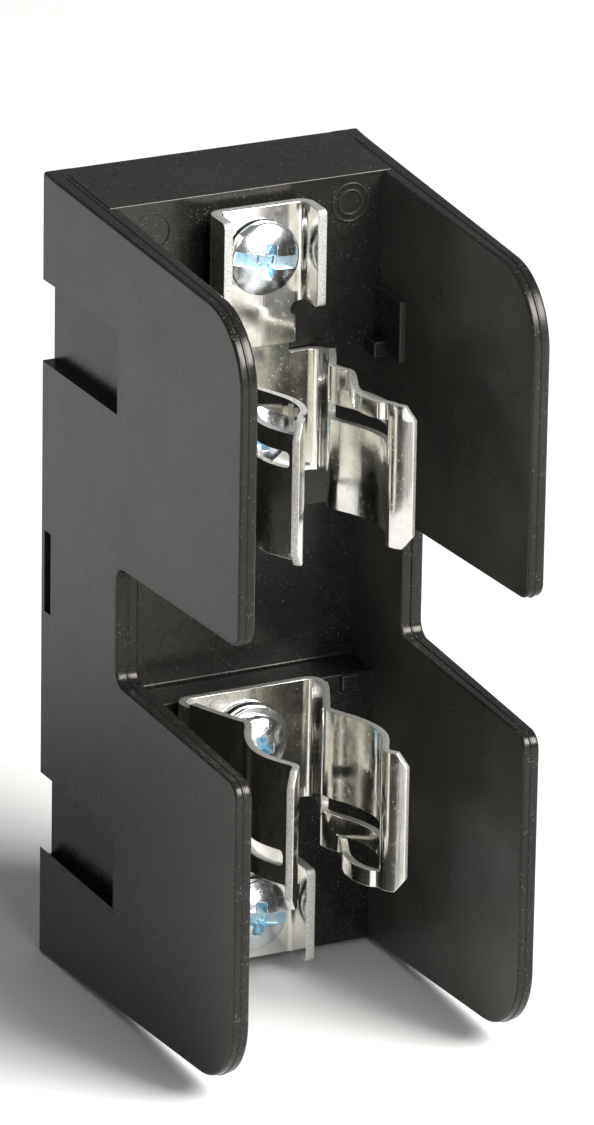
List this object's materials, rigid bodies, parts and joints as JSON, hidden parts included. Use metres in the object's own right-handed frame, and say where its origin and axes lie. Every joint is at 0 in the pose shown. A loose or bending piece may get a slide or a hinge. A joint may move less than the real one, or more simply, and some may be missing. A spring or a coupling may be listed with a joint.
{
  "type": "cartridge fuse holder",
  "caption": "Upright moulded fuse block with tall notched side walls, spring clips for a round cartridge fuse and an eared screw terminal at each end.",
  "frame": {"origin": "centre of the bounding box's underside, with the holder standing on its lower end", "axes": "+X across the width to the right-hand wall, -Y out of the front where the fuse goes in, +Z along the fuse from the lower terminal to the upper one"},
  "size_m": [0.0358, 0.0458, 0.087],
  "materials": {
    "moulded_black": "satin moulded thermoset with a faint speckle",
    "tin_plate": "bright tin-plated copper alloy sheet",
    "zinc_plate": "bright zinc plate with a bluish tint",
    "nut_steel": "plain zinc-plated steel"
  },
  "bodies": {
    "holder": {"body": "moulded_black", "upper_clip": "tin_plate", "upper_terminal": "tin_plate", "upper_clip_washer": "zinc_plate", "upper_clip_screw": "zinc_plate", "upper_terminal_nut": "nut_steel", "upper_clip_nut": "nut_steel", "lower_clip": "tin_plate", "lower_terminal": "tin_plate", "lower_clip_washer": "zinc_plate", "lower_clip_screw": "zinc_plate", "lower_terminal_nut": "nut_steel", "lower_clip_nut": "nut_steel"},
    "upper_screw": {"upper_terminal_screw": "zinc_plate"},
    "lower_screw": {"lower_terminal_screw": "zinc_plate"}
  },
  "joints": [
    {"name": "upper_screw_turn", "type": "hinge", "parent": "holder", "child": "upper_screw", "pos_m": [0, 0.0082, 0.0799], "axis": [0, -1, 0], "range_deg": [-130, 1440]},
    {"name": "lower_screw_turn", "type": "hinge", "parent": "holder", "child": "lower_screw", "pos_m": [0, 0.0082, 0.0071], "axis": [0, -1, 0], "range_deg": [-130, 1440]}
  ]
}
